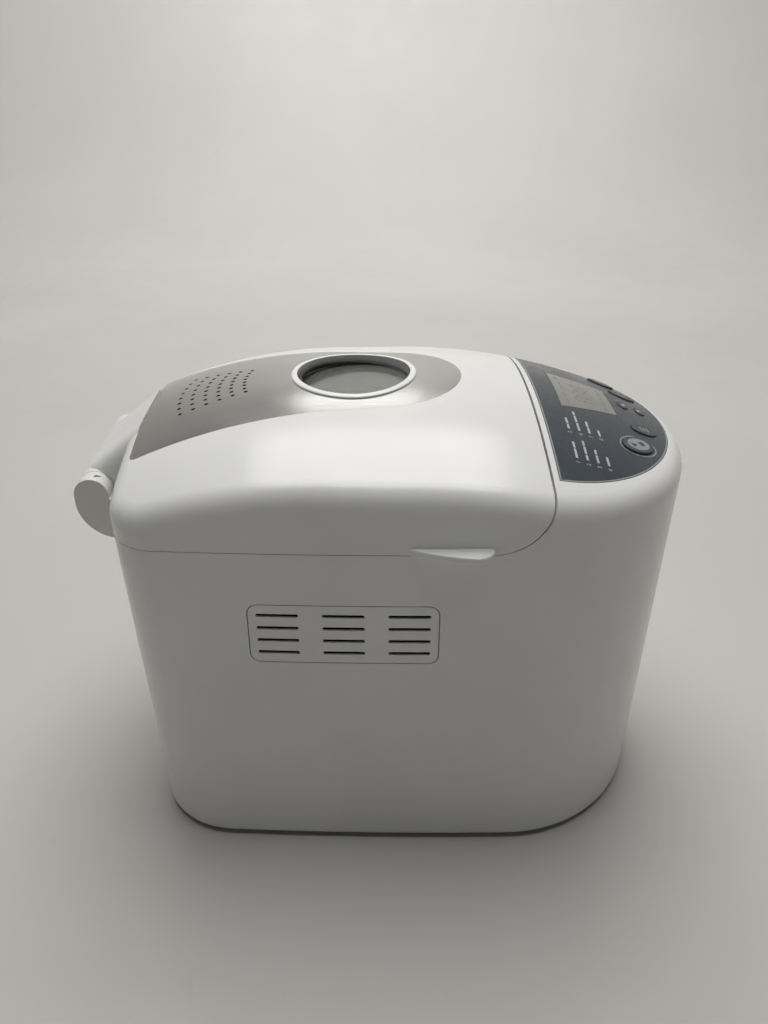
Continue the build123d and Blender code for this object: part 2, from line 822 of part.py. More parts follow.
def make_chamber_liner():
    """Deep-drawn tub that hangs under the deck by its flange."""
    tub = chamber_block(chamber_sheet, chamber_floor, deck_under)
    tub += chamber_block(chamber_flange, deck_under - chamber_sheet, deck_under)
    tub -= chamber_block(0, chamber_floor + chamber_sheet, deck_under + 1)
    tub -= cylinder(bush_radius, chamber_floor - 1, chamber_floor + 5, 0, chamber_y)
    wall_y = chamber_y - chamber_depth / 2
    for x in (-terminal_spacing / 2, terminal_spacing / 2):
        tub -= Pos(x, wall_y, element_level()) * Rot(90, 0, 0) * Cylinder(element_radius, 10)
    tub -= Pos(sensor_x, wall_y, sensor_z) * Rot(90, 0, 0) * Cylinder(sensor_radius, 10)
    return tub


def make_chamber_trim():
    """Bright ring that lines the deck's opening."""
    gap = chamber_sheet + deck_opening_gap
    trim = chamber_block(gap + trim_lip, seam_height, seam_height + trim_thickness)
    trim += chamber_block(gap, deck_under, seam_height)
    return trim - chamber_block(0, deck_under - 1, seam_height + 5)


def make_chamber_legs():
    return [cylinder(leg_radius, base_top, chamber_floor, i * leg_spread_x, chamber_y + j * leg_spread_y)
            for i in (-1, 1) for j in (-1, 1)]


def element_level():
    return chamber_floor + chamber_sheet + element_height


def make_heating_element():
    """Tubular heater that rings the pan, with two ends through the chamber's front wall."""
    half_x = chamber_width / 2 - element_inset
    half_y = chamber_depth / 2 - element_inset
    wall_y = chamber_y - chamber_depth / 2
    loop = RectangleRounded(2 * half_x, 2 * half_y, element_corner).wire()
    path = Pos(0, chamber_y, element_level()) * loop
    start = path.edges().sort_by(Axis.Y)[0]
    section = Plane(origin=start.position_at(0.5), z_dir=start.tangent_at(0.5)) * Circle(element_radius)
    tube = sweep(section, path=path)
    for x in (-terminal_spacing / 2, terminal_spacing / 2):
        length = element_inset + terminal_reach
        rod = Pos(x, wall_y + element_inset - length / 2, element_level()) * Rot(90, 0, 0)
        tube += rod * Cylinder(element_radius, length)
    return tube


def make_element_clips():
    """Four posts on the chamber floor that the heater lies on."""
    half_x = chamber_width / 2 - element_inset
    floor = chamber_floor + chamber_sheet
    clips = []
    for i in (-1, 1):
        for j in (-1, 1):
            y = chamber_y + j * 22
            post = cylinder(2.5, floor, element_level() - 1, i * half_x, y)
            saddle = Pos(i * half_x, y, element_level()) * Rot(90, 0, 0) * Cylinder(element_radius, 10)
            clips.append(post - saddle)
    return clips


def make_pan_socket():
    """Cast seat on the chamber floor that the pan's foot drops into."""
    floor = chamber_floor + chamber_sheet
    inside = pan_foot_radius + seat_gap
    socket = cylinder(socket_flange_radius, floor, socket_top, 0, chamber_y)
    socket += cylinder(inside + socket_ring_wall, floor, floor + socket_height, 0, chamber_y)
    socket -= cylinder(inside, socket_top, floor + socket_height + 1, 0, chamber_y)
    return socket - cylinder(bush_radius, floor - 1, socket_top + 1, 0, chamber_y)


# --- drive --------------------------------------------------------------------------------------
def make_bearing_bush():
    return ring(bush_radius, shaft_radius + shaft_clearance, bush_low, socket_top, 0, chamber_y)


def make_drive_shaft():
    return cylinder(shaft_radius, base_top + 1.0, dog_top, 0, chamber_y)


def make_drive_dog():
    """Cross bar on top of the drive shaft."""
    low = socket_top + 1.0
    dog = cylinder(shaft_radius + 4, low, dog_top, 0, chamber_y)
    dog += Pos(0, chamber_y, (low + dog_top) / 2) * Box(2 * dog_reach, dog_width, dog_top - low)
    return dog - cylinder(shaft_radius, low - 1, dog_top + 1, 0, chamber_y)


def make_pulley(radius, bore, y):
    """Flanged pulley."""
    high = pulley_low + pulley_height
    pulley = cylinder(radius, pulley_low, high, 0, y)
    pulley += cylinder(radius + pulley_rim, pulley_low, pulley_low + pulley_flange, 0, y)
    pulley += cylinder(radius + pulley_rim, high - pulley_flange, high, 0, y)
    return pulley - cylinder(bore, pulley_low - 1, high + 1, 0, y)


def make_driven_pulley():
    """Large pulley with a ring of lightening holes."""
    pulley = make_pulley(driven_pulley_radius, shaft_radius, chamber_y)
    web_radius = (driven_pulley_radius + shaft_radius + 6) / 2
    hole = cylinder(web_radius * 0.3, pulley_low - 1, pulley_low + pulley_height + 1, web_radius, 0)
    for i in range(6):
        pulley -= Pos(0, chamber_y, 0) * Rot(0, 0, 60 * i) * hole
    return pulley


def belt_loop(extra):
    """Open-belt outline round both pulleys."""
    big = driven_pulley_radius + extra
    small = motor_pulley_radius + extra
    span = chamber_y - motor_y
    lean = asin((big - small) / span)
    right_big = (big * cos(lean), chamber_y - big * sin(lean))
    right_small = (small * cos(lean), motor_y - small * sin(lean))
    return make_face([
        Line(right_small, right_big),
        ThreePointArc(right_big, (0, chamber_y + big), (-right_big[0], right_big[1])),
        Line((-right_big[0], right_big[1]), (-right_small[0], right_small[1])),
        ThreePointArc((-right_small[0], right_small[1]), (0, motor_y - small), right_small),
    ])


def make_drive_belt():
    low = pulley_low + pulley_flange + belt_gap
    height = pulley_height - 2 * (pulley_flange + belt_gap)
    band = belt_loop(belt_gap + belt_thickness) - belt_loop(belt_gap)
    return Pos(0, 0, low) * extrude(band, height)


def make_motor():
    can = cylinder(motor_radius, motor_low, motor_low + motor_height, 0, motor_y)
    can = fillet(can.edges().sort_by(Axis.Z)[-1:], 4)
    can += cylinder(10, motor_low + motor_height, motor_low + motor_height + 3, 0, motor_y)
    bore = cylinder(motor_shaft_radius + shaft_clearance, motor_low - 1, motor_low + 40, 0, motor_y)
    return can - bore


def make_motor_shaft():
    return cylinder(motor_shaft_radius, pulley_low - 2, motor_low + 39, 0, motor_y)


def motor_post_places():
    half_x = motor_plate_width / 2 - motor_post_radius - 1
    half_y = motor_plate_depth / 2 - motor_post_radius - 1
    return [(i * half_x, motor_y + j * half_y) for i in (-1, 1) for j in (-1, 1)]


def make_motor_bracket():
    """Plate on four posts that carries the motor over its pulley."""
    plate_low = motor_low - motor_plate_thickness
    bracket = rounded_block(motor_plate_width, motor_plate_depth, motor_post_radius + 1, plate_low,
                            motor_low, 0, motor_y)
    bracket -= cylinder(motor_shaft_radius + 5, plate_low - 1, motor_low + 1, 0, motor_y)
    for x, y in motor_post_places():
        bracket += cylinder(motor_post_radius, base_top, plate_low, x, y)
        bracket -= cylinder(screw_radius, motor_low - 12, motor_low + 1, x, y)
    return bracket


def make_motor_screws():
    return [Pos(x, y, motor_low) * Rot(180, 0, 0) * screw(10) for x, y in motor_post_places()]


# --- bread pan ----------------------------------------------------------------------------------
def pan_block(margin, low, high):
    return rounded_block(pan_width + 2 * margin, pan_depth + 2 * margin, pan_corner + margin,
                         low, high, 0, chamber_y)


def bail_pivot_z():
    return pan_top - bail_pivot_below_rim


def make_bread_pan():
    """Loaf pan with a rolled rim, two ears for the bail and a round foot."""
    pan = pan_block(0, pan_bottom, pan_top)
    pan = fillet(pan.edges().group_by(Axis.Z)[0], 4)
    pan += pan_block(pan_rim, pan_top - pan_rim_thickness, pan_top)
    hollow = pan_block(-pan_wall, pan_bottom + 2.0, pan_top + 1)
    hollow = fillet(hollow.edges().group_by(Axis.Z)[0], 3)
    pan -= hollow
    foot_low = socket_top + seat_gap
    pan += ring(pan_foot_radius, pan_foot_radius - pan_foot_wall, foot_low, pan_bottom + 0.5,
                0, chamber_y)
    for hand in (-1, 1):
        low, high = sorted((hand * (pan_width / 2 - 1), hand * (pan_width / 2 + pan_rim)))
        pan += cross_cylinder(pan_ear_radius, low, high, chamber_y, bail_pivot_z())
        low, high = sorted((hand * (pan_width / 2), hand * (pan_width / 2 + pan_rim + 1)))
        pan -= cross_cylinder(bail_wire_radius + shaft_clearance, low, high, chamber_y, bail_pivot_z())
    return pan - cylinder(boss_radius - 3, pan_bottom - 5, pan_bottom + 5, 0, chamber_y)


def make_pan_boss():
    """Sealed bearing in the pan's floor."""
    boss = cylinder(boss_radius, pan_bottom + 2.0, pan_bottom + 2.0 + boss_height, 0, chamber_y)
    boss += cylinder(boss_radius - 3, pan_bottom - 0.5, pan_bottom + 2.5, 0, chamber_y)
    return boss - cylinder(shaft_radius + shaft_clearance, pan_bottom - 5, pan_bottom + 20, 0, chamber_y)


def make_pan_shaft():
    """Shaft through the pan's floor, with the driven dog under it."""
    boss_top = pan_bottom + 2.0 + boss_height
    shaft_top = boss_top + paddle_height - paddle_cap - 1
    shaft = cylinder(shaft_radius, dog_top + 1.0, shaft_top, 0, chamber_y)
    hub_low = dog_top + 1.0
    shaft += cylinder(dog_reach, hub_low, pan_bottom - 1.0, 0, chamber_y)
    for hand in (-1, 1):
        side = dog_width / 2 + lug_clearance
        lug = cylinder(dog_reach, socket_top + 1.5, hub_low + 0.5)
        lug -= cylinder(shaft_radius + 4 + lug_clearance, socket_top, hub_low + 0.5)
        keep = Pos(0, hand * (side + dog_reach / 2), hub_low - 5) * Box(12, dog_reach, 30)
        shaft += Pos(0, chamber_y, 0) * (lug & keep)
    return shaft


def make_kneading_paddle():
    """Hub with one upright blade that leans into the dough."""
    low = pan_bottom + 2.0 + boss_height + seat_gap
    high = low + paddle_height
    hub = cylinder(paddle_hub_radius, low, high, 0, chamber_y)
    hub = fillet(hub.edges().sort_by(Axis.Z)[-1:], 4)
    outline = make_face([
        Line((0, low), (paddle_reach, low)),
        ThreePointArc((paddle_reach, low), (paddle_reach - 4, high - 6), (paddle_reach - 16, high)),
        Line((paddle_reach - 16, high), (0, high - 2)),
        Line((0, high - 2), (0, low)),
    ])
    blade = Pos(0, chamber_y, 0) * extrude(Plane.XZ * outline, paddle_blade / 2, both=True)
    bore = cylinder(shaft_radius + 2 * shaft_clearance, low - 1, high - paddle_cap, 0, chamber_y)
    return hub + blade - bore


def make_bail_handle():
    """Bent wire bail, folded to the rear over the rim."""
    arm_x = pan_width / 2 + pan_rim + bail_side_gap + bail_wire_radius
    lean = radians(bail_rest_angle)
    bar_y = chamber_y + bail_arm * cos(lean)
    bar_z = bail_pivot_z() + bail_arm * sin(lean)
    end_x = pan_width / 2 + 0.6
    route = FilletPolyline((-end_x, chamber_y, bail_pivot_z()), (-arm_x, chamber_y, bail_pivot_z()),
                           (-arm_x, bar_y, bar_z), (arm_x, bar_y, bar_z),
                           (arm_x, chamber_y, bail_pivot_z()), (end_x, chamber_y, bail_pivot_z()),
                           radius=bail_wire_radius + 1.2)
    section = Plane(origin=route @ 0, z_dir=route % 0) * Circle(bail_wire_radius)
    return sweep(section, path=route)


# --- electrics ----------------------------------------------------------------------------------
def make_capacitor():
    place_x = motor_plate_width / 2 + capacitor_radius + 4
    can = cylinder(capacitor_radius, base_top, base_top + capacitor_height, place_x, motor_y + 24)
    return fillet(can.edges().sort_by(Axis.Z)[-1:], 2)


def power_board_place():
    return -(motor_plate_width / 2 + power_board_width / 2 + 4), motor_y + 40


def make_power_board():
    x, y = power_board_place()
    board = Pos(x, y, base_top + 9) * Box(power_board_width, power_board_depth, board_thickness)
    for i in (-1, 1):
        for j in (-1, 1):
            board += cylinder(2.5, base_top, base_top + 9, x + i * (power_board_width / 2 - 4),
                              y + j * (power_board_depth / 2 - 4))
    return board


def make_transformer():
    x, y = power_board_place()
    low = base_top + 9 + board_thickness / 2
    core = Pos(x, y, low + 13) * Box(32, 28, 26)
    return core + Pos(x, y, low + 13) * Box(20, 40, 18)


def make_temperature_sensor():
    wall_y = chamber_y - chamber_depth / 2
    stem = Pos(sensor_x, wall_y - 4, sensor_z) * Rot(90, 0, 0) * Cylinder(sensor_radius, 16)
    nut_y = wall_y - chamber_sheet - 1.5
    return stem + Pos(sensor_x, nut_y, sensor_z) * Rot(90, 0, 0) * Cylinder(sensor_radius + 3, 3)


def make_thermal_fuse():
    outside = chamber_y - chamber_depth / 2 - chamber_sheet
    place = Pos(-sensor_x, outside - fuse_radius, sensor_z + fuse_rise)
    body = place * Rot(0, 90, 0) * Cylinder(fuse_radius, fuse_length)
    strap = place * Box(5, 2 * fuse_radius, 4 * fuse_radius)
    return body + strap


def make_cord_gland():
    """Rubber bush in the rear wall where the mains cord enters."""
    face = rear_wall_at(gland_z)
    bush = Pos(gland_x, face, gland_z) * Rot(90, 0, 0) * Cylinder(gland_radius, 12)
    collar = Pos(gland_x, face + 4, gland_z) * Rot(90, 0, 0) * Cylinder(gland_radius + 3, 4)
    bore = Pos(gland_x, face, gland_z) * Rot(90, 0, 0) * Cylinder(3.6, 30)
    return bush + collar - bore


# --- whole machine ------------------------------------------------------------------------------
def build_nodes():
    outer = form(0, foot_height)
    inner = form(wall, foot_height - 1)
    nodes = {
        "outer_body": make_outer_body(outer, inner),
        "vent_grille_left": make_vent_grille(-1, outer, inner),
        "vent_grille_right": make_vent_grille(1, outer, inner),
        "control_panel": make_control_panel(outer),
        "base_plate": make_base_plate(),
        "feet": make_feet(),
        "base_screws": make_base_screws(),
        "hinge_bracket": make_hinge_bracket(outer),
        "bracket_screws": make_bracket_screws(),
        "hinge_pins": make_hinge_pins(),
        "chamber_liner": make_chamber_liner(),
        "chamber_trim": make_chamber_trim(),
        "chamber_legs": make_chamber_legs(),
        "heating_element": make_heating_element(),
        "element_clips": make_element_clips(),
        "pan_socket": make_pan_socket(),
        "bearing_bush": make_bearing_bush(),
        "drive_shaft": make_drive_shaft(),
        "drive_dog": make_drive_dog(),
        "driven_pulley": make_driven_pulley(),
        "drive_belt": make_drive_belt(),
        "motor": make_motor(),
        "motor_shaft": make_motor_shaft(),
        "motor_pulley": make_pulley(motor_pulley_radius, motor_shaft_radius, motor_y),
        "motor_bracket": make_motor_bracket(),
        "motor_screws": make_motor_screws(),
        "run_capacitor": make_capacitor(),
        "power_board": make_power_board(),
        "transformer": make_transformer(),
        "control_board": make_control_board(),
        "tact_switches": make_switches(),
        "lcd_module": make_lcd_module(),
        "temperature_sensor": make_temperature_sensor(),
        "thermal_fuse": make_thermal_fuse(),
        "cord_gland": make_cord_gland(),
        "lid_shell": make_lid_shell(outer, inner),
        "lid_inlay": make_lid_inlay(outer),
        "lid_liner": make_lid_liner(inner),
        "lid_seal": make_lid_seal(),
        "window_bezel": make_window_bezel(),
        "window_glass": make_window_glass(),
        "window_tube": make_window_tube(),
        "bread_pan": make_bread_pan(),
        "pan_boss": make_pan_boss(),
        "pan_shaft": make_pan_shaft(),
        "kneading_paddle": make_kneading_paddle(),
        "bail_handle": make_bail_handle(),
    }
    for name, sizes in buttons.items():
        nodes[name] = make_button(*sizes)
    return nodes


os.makedirs("parts", exist_ok=True)
for node_name, shape in build_nodes().items():
    whole = Compound(children=shape) if isinstance(shape, list) else shape
    export_step(whole, f"parts/{node_name}.step")
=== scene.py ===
"""Looks of the bread machine: materials, printed panel graphics, display, gasket, stage and camera."""
import bpy
import math
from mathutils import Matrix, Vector
from mathutils.bvhtree import BVHTree


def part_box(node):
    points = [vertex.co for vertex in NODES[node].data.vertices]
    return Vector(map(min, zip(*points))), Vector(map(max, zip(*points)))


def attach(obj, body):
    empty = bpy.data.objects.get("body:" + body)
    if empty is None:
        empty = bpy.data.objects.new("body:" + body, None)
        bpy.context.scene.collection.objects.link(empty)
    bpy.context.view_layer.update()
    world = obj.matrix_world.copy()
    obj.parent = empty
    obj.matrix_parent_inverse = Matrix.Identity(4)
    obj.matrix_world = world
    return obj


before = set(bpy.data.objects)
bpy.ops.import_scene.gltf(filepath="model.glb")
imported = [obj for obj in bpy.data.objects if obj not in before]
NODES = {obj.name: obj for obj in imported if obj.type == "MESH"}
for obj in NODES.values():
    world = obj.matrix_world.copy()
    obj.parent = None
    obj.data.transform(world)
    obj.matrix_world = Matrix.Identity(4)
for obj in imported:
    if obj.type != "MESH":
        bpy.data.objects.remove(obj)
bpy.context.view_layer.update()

MM = 0.001

# --- the casing and lid that the pieces follow, in millimetres and degrees -----------------------
PANEL_CENTER_Y = -89.5
PANEL_HALF_WIDTH = 103.0
PANEL_HALF_DEPTH = 91.0
LID_FRONT_Y = -90.0
LID_LIP = 3.6
LID_BOW_RADIUS = 4000.0
HALF_WIDTH = 122.5           # side wall at its widest level, and how it leans and bows
WIDEST_HEIGHT = 238.0
SIDE_DRAFT = 1.75
SIDE_BOW_RADIUS = 2600.0
NOSE_CENTER_Y = -79.0
GRILLE_Y, GRILLE_Z = 25.7, 170.4
CROWN_HEIGHT = 288.2
CROWN_CROSS_RADIUS = 305.0
CROWN_REAR_RADIUS = 340.0
CROWN_FLAT_REAR = 28.5
WINDOW_Y = 19.3
VENT_ARC_FIRST = 69.0        # arcs of small holes behind the window
VENT_ARC_LAST = 110.0
VENT_HALF_ANGLE = 15.75
KEYS = {                     # x and y of each key's middle, and the turn of its sign
    "start_stop": (-52.0, -151.5, -57.0),
    "menu": (-28.5, -161.0, -75.0),
    "time_up": (4.0, -155.0, 0.0),
    "time_down": (4.0, -166.5, 0.0),
    "loaf_size": (30.0, -161.0, 0.0),
    "crust": (52.0, -151.5, 57.0),
}

# --- printing on the panel and keys, in millimetres ----------------------------------------------
LCD_X = 2.5                  # the display window narrows toward the front
LCD_REAR_Y, LCD_FRONT_Y = -108.5, -145.5
LCD_REAR_HALF, LCD_FRONT_HALF = 30.0, 21.5
LCD_SURROUND = 0.9
DIGIT_SIZE = 12.0
DIGIT_PLACES = (-12.0, -2.5, 9.5)
COLON_PLACE, COLON_HALF = 3.5, 3.0
MARK_HEIGHT = 1.4
MARK_ROWS = [                # distance from the display's middle, mark length, places along the row
    (13.0, 5.0, (-20.0, -10.0, 0.0, 10.0, 20.0)),
    (-13.0, 3.6, (-15.0, -7.5, 0.0, 7.5, 15.0)),
]
LIST_TOP_Y = -109.4          # foot of the first number in each column of the program list
LIST_ROW_STEP = 6.3
LIST_COLUMNS = [             # x of a column, and the lengths of the bars in each of its rows
    (-86.0, [(8.0, 5.5), (4.5, 6.5, 4.5), (6.5, 4.0), (7.5,)]),
    (-58.8, [(5.0, 6.0), (8.5, 7.5, 4.0), (5.5, 6.5), (6.0,)]),
]
NUMERAL_SIZE = 3.6
BAR_START = 4.2              # first bar's left end from the number's
BAR_GAP = 0.9
BAR_RAISE = 1.25             # a bar's middle above the number's foot
EDGE_LINE_INSET, EDGE_LINE_WIDTH = 0.3, 0.8
START_RING_HALF, START_RING_WIDTH = (13.1, 9.5), 0.75
START_FIELD_HALF = (8.2, 5.4)

# A printed layer: its top's height over the host surface, and its depth below that top.
INK_LAYER = (0.07, 0.05)
SURROUND_LAYER = (0.05, 0.04)
FACE_LAYER = (0.10, 0.04)
SEGMENT_LAYER = (0.14, 0.03)
SIGN_ON_FIELD_LAYER = (0.12, 0.04)
RAY_TOP = 400.0              # marks are dropped on their host from here

# --- stage, in metres and watts ------------------------------------------------------------------
LAMP_COLOR = (1.0, 0.99, 0.97)
LAMPS = [                    # name, place, target, width, depth, power
    ("key_light", (0.42, 0.0, 2.20), (0.05, 0.0, 0.2), 1.5, 2.0, 43.0),
    ("window_light", (1.25, 0.08, 1.32), (0.0, 0.02, 0.28), 0.42, 0.40, 0.62),
    ("wall_light", (1.50, 0.0, 1.40), (2.20, 0.0, 0.35), 0.8, 0.5, 8.0),
]
ROOM_COLOR, ROOM_STRENGTH = (0.98, 1.0, 1.0, 1.0), 0.085
BACKDROP_COLOR = (0.52, 0.51, 0.49, 1.0)
CAMERA_PLACE = (-0.5546, 0.0081, 0.4883)
CAMERA_PITCH, CAMERA_YAW, CAMERA_ROLL = 28.49, 0.79, -0.18      # degrees
CAMERA_LENS, CAMERA_SENSOR = 32.42, 36.0                        # millimetres

MIX_FACTOR, MIX_UNDER, MIX_OVER, MIX_RESULT = 0, 6, 7, 2        # sockets of a colour Mix node


# --- node graph helper ---------------------------------------------------------------------------
class Graph:
    """Node tree of one material, with short ways to add and join nodes."""

    def __init__(self, name):
        self.material = bpy.data.materials.new(name)
        self.material.use_nodes = True
        self.tree = self.material.node_tree
        self.shader = self.tree.nodes["Principled BSDF"]
        self.place = self.add("ShaderNodeTexCoord").outputs["Object"]

    def add(self, kind, **settings):
        node = self.tree.nodes.new(kind)
        for key, value in settings.items():
            setattr(node, key, value)
        return node

    def feed(self, node, **values):
        """Sets or links sockets by name; underscores stand for spaces."""
        for key, value in values.items():
            socket = node.inputs[key.replace("_", " ")]
            if isinstance(value, bpy.types.NodeSocket):
                self.tree.links.new(value, socket)
            else:
                socket.default_value = value
        return node

    def shade(self, **values):
        """Feeds the shader and gives the finished material."""
        self.feed(self.shader, **values)
        return self.material

    def stretched(self, x, y, z):
        node = self.feed(self.add("ShaderNodeMapping"), Vector=self.place, Scale=(x, y, z))
        return node.outputs["Vector"]

    def noise(self, scale, detail=3.0, vector=None):
        node = self.add("ShaderNodeTexNoise")
        self.feed(node, Vector=vector or self.place, Scale=scale, Detail=detail)
        return node.outputs["Fac"]

    def cells(self, scale):
        node = self.feed(self.add("ShaderNodeTexVoronoi"), Vector=self.place, Scale=scale)
        return node.outputs["Distance"]

    def bricks(self, offset, **values):
        """1 on the joints of a brick pattern, 0 on its bricks."""
        node = self.add("ShaderNodeTexBrick", offset=offset)
        return self.feed(node, Vector=self.place, **values).outputs["Fac"]

    def spread(self, value, low, high, first=0.3, last=0.7):
        """Maps values from first to last onto low to high."""
        node = self.add("ShaderNodeMapRange")
        self.feed(node, Value=value, From_Min=first, From_Max=last, To_Min=low, To_Max=high)
        return node.outputs["Result"]

    def patchy(self, scale, low, high, detail=3.0, first=0.3, last=0.7):
        """Noise that varies between two values."""
        return self.spread(self.noise(scale, detail), low, high, first, last)

    def tint(self, factor, under, over):
        """Colour between two; the one under may be the result of another tint."""
        node = self.add("ShaderNodeMix", data_type="RGBA")
        self.tree.links.new(factor, node.inputs[MIX_FACTOR])
        if isinstance(under, bpy.types.NodeSocket):
            self.tree.links.new(under, node.inputs[MIX_UNDER])
        else:
            node.inputs[MIX_UNDER].default_value = (*under, 1.0)
        node.inputs[MIX_OVER].default_value = (*over, 1.0)
        return node.outputs[MIX_RESULT]

    def cloudy(self, scale, detail, first, second):
        """Colour that drifts between two."""
        return self.tint(self.patchy(scale, 0.0, 1.0, detail), first, second)

    def bump(self, height, distance, strength, under=None):
        node = self.add("ShaderNodeBump")
        self.feed(node, Height=height, Distance=distance * MM, Strength=strength)
        if under is not None:
            self.feed(node, Normal=under)
        return node.outputs["Normal"]

    def soft_edge(self, radius):
        """Normal that rounds sharp edges by a moulding radius."""
        node = self.add("ShaderNodeBevel", samples=4)
        return self.feed(node, Radius=radius * MM).outputs["Normal"]

    def edge_mask(self, radius):
        """1 near sharp edges, 0 on open surface."""
        rounded = self.soft_edge(radius)
        plain = self.add("ShaderNodeNewGeometry").outputs["Normal"]
        dot = self.add("ShaderNodeVectorMath", operation="DOT_PRODUCT")
        self.tree.links.new(rounded, dot.inputs[0])
        self.tree.links.new(plain, dot.inputs[1])
        return self.spread(dot.outputs["Value"], 1.0, 0.0, 0.75, 0.98)


def shades(color, step):
    """A darker and a lighter neighbour of a colour."""
    return [tuple(min(1.0, channel * (1 + sign * step)) for channel in color) for sign in (-1, 1)]


# --- materials -----------------------------------------------------------------------------------
def gloss_plastic(name, color, rough, peel=0.02, edge=0.5):
    """Moulded gloss plastic: cloudy tone, fine dust, orange peel and softly rounded edges."""
    g = Graph(name)
    dust = g.patchy(900.0, 0.0, 0.10, 2.0, 0.62, 0.80)
    dusty = tuple(channel * 0.72 for channel in color)
    return g.shade(Base_Color=g.tint(dust, g.cloudy(14.0, 4.0, *shades(color, 0.025)), dusty),
                   Roughness=g.patchy(38.0, rough, rough + 0.06, 6.0), IOR=1.46,
                   Normal=g.bump(g.noise(260.0, 2.0), peel, 0.35, g.soft_edge(edge)))


def grained_plastic(name, color, rough, grain=840.0, depth=0.06):
    """Matt moulded plastic with a spark-eroded grain."""
    g = Graph(name)
    return g.shade(Base_Color=g.cloudy(55.0, 3.0, *shades(color, 0.12)),
                   Roughness=g.patchy(120.0, rough, rough + 0.14),
                   Normal=g.bump(g.noise(grain, 4.0), depth, 0.7))


def rubber(name, color, rough):
    """Dull moulded rubber with a patchy bloom."""
    g = Graph(name)
    return g.shade(Base_Color=g.cloudy(60.0, 5.0, *shades(color, 0.25)),
                   Roughness=g.patchy(95.0, rough, rough + 0.18), Specular_IOR_Level=0.35,
                   Normal=g.bump(g.noise(1500.0), 0.05, 0.6))


def sheet_metal(name, color, rough, stretch, depth=0.01, stain=0.0):
    """Rolled or turned metal: directional scratches, patchy sheen, optional heat stain."""
    g = Graph(name)
    lines = g.noise(900.0, 4.0, g.stretched(*stretch))
    tone = g.cloudy(24.0, 4.0, *shades(color, 0.08))
    if stain:
        tone = g.tint(g.patchy(30.0, 0.0, stain, 6.0, 0.45, 0.75), tone, (0.20, 0.14, 0.09))
    return g.shade(Base_Color=tone, Metallic=1.0, Roughness=g.spread(lines, rough, rough + 0.12),
                   Normal=g.bump(lines, depth, 0.5, g.soft_edge(0.25)))


def cast_metal(name, color, rough):
    """Cast or sintered metal: pitted, with a patchy sheen."""
    g = Graph(name)
    return g.shade(Base_Color=g.cloudy(45.0, 3.0, *shades(color, 0.10)), Metallic=1.0,
                   Roughness=g.patchy(160.0, rough, rough + 0.2, 5.0),
                   Normal=g.bump(g.noise(700.0, 6.0), 0.08, 0.6, g.soft_edge(0.3)))


def inlay_steel(name):
    """Satin steel sheet of the lid, finely brushed front to back, with faint smudges."""
    g = Graph(name)
    lines = g.noise(1600.0, 5.0, g.stretched(1.0, 0.010, 1.0))
    brushed = g.tint(g.spread(lines, 0.0, 1.0), (0.51, 0.505, 0.495), (0.59, 0.585, 0.575))
    smudge = g.patchy(30.0, 0.0, 0.06, 5.0, 0.55, 0.80)
    return g.shade(Base_Color=g.tint(smudge, brushed, (0.42, 0.41, 0.40)), Metallic=1.0,
                   Roughness=g.patchy(9.0, 0.20, 0.23), Anisotropic=0.30,
                   Normal=g.bump(lines, 0.003, 0.25))


def painted_shade_sheet(name):
    """Near-black sheet with a woven grid of threads, set behind openings as painted shade for the dark
    inside them.
    """
    g = Graph(name)
    threads = g.bricks(0.0, Scale=700.0, Mortar_Size=0.12, Brick_Width=0.5, Row_Height=0.5)
    gaps = g.cloudy(90.0, 3.0, (0.006, 0.006, 0.006), (0.012, 0.012, 0.012))
    return g.shade(Base_Color=g.tint(threads, gaps, (0.016, 0.016, 0.016)),
                   Roughness=g.patchy(200.0, 0.75, 0.95), Specular_IOR_Level=0.15,
                   Normal=g.bump(threads, 0.05, 0.6))


def panel_film(name):
    """Dark blue-grey printed film with fine flakes and a satin hard coat."""
    g = Graph(name)
    film = g.cloudy(10.0, 4.0, (0.056, 0.066, 0.077), (0.065, 0.076, 0.088))
    flake = g.patchy(2600.0, 0.0, 0.35, 2.0, 0.60, 0.80)
    return g.shade(Base_Color=g.tint(flake, film, (0.105, 0.115, 0.130)),
                   Roughness=g.patchy(70.0, 0.22, 0.34, 5.0), IOR=1.5,
                   Normal=g.bump(g.noise(1800.0), 0.010, 0.5))


def window_glass(name):
    """Toughened glass, faintly green and misted."""
    g = Graph(name)
    return g.shade(Base_Color=g.cloudy(20.0, 3.0, (0.74, 0.78, 0.74), (0.82, 0.86, 0.82)),
                   Roughness=g.patchy(42.0, 0.03, 0.12, 5.0), IOR=1.5, Transmission_Weight=0.9,
                   Normal=g.bump(g.noise(90.0, 2.0), 0.01, 0.3))


def pan_coating(name):
    """Non-stick coating: dark grey with fine pale specks and rubbed rims."""
    g = Graph(name)
    tone = g.cloudy(35.0, 3.0, (0.040, 0.041, 0.043), (0.058, 0.059, 0.061))
    tone = g.tint(g.spread(g.cells(1400.0), 0.85, 0.0, 0.05, 0.20), tone, (0.16, 0.16, 0.165))
    tone = g.tint(g.spread(g.edge_mask(0.5), 0.0, 0.35, 0.4, 1.0), tone, (0.30, 0.30, 0.30))
    return g.shade(Base_Color=tone, Roughness=g.patchy(150.0, 0.34, 0.50, 4.0),
                   Normal=g.bump(g.noise(1100.0, 4.0), 0.03, 0.6, g.soft_edge(0.3)))


def circuit_board(name):
    """Green solder mask over copper runs."""
    g = Graph(name)
    runs = g.bricks(0.35, Scale=150.0, Mortar_Size=0.09, Brick_Width=0.9, Row_Height=0.30)
    mask = g.cloudy(60.0, 3.0, (0.018, 0.125, 0.045), (0.026, 0.160, 0.060))
    return g.shade(Base_Color=g.tint(g.spread(runs, 0.0, 0.7, 0.0, 1.0), mask, (0.05, 0.23, 0.09)),
                   Roughness=g.patchy(200.0, 0.28, 0.42), Normal=g.bump(runs, 0.04, 0.6))


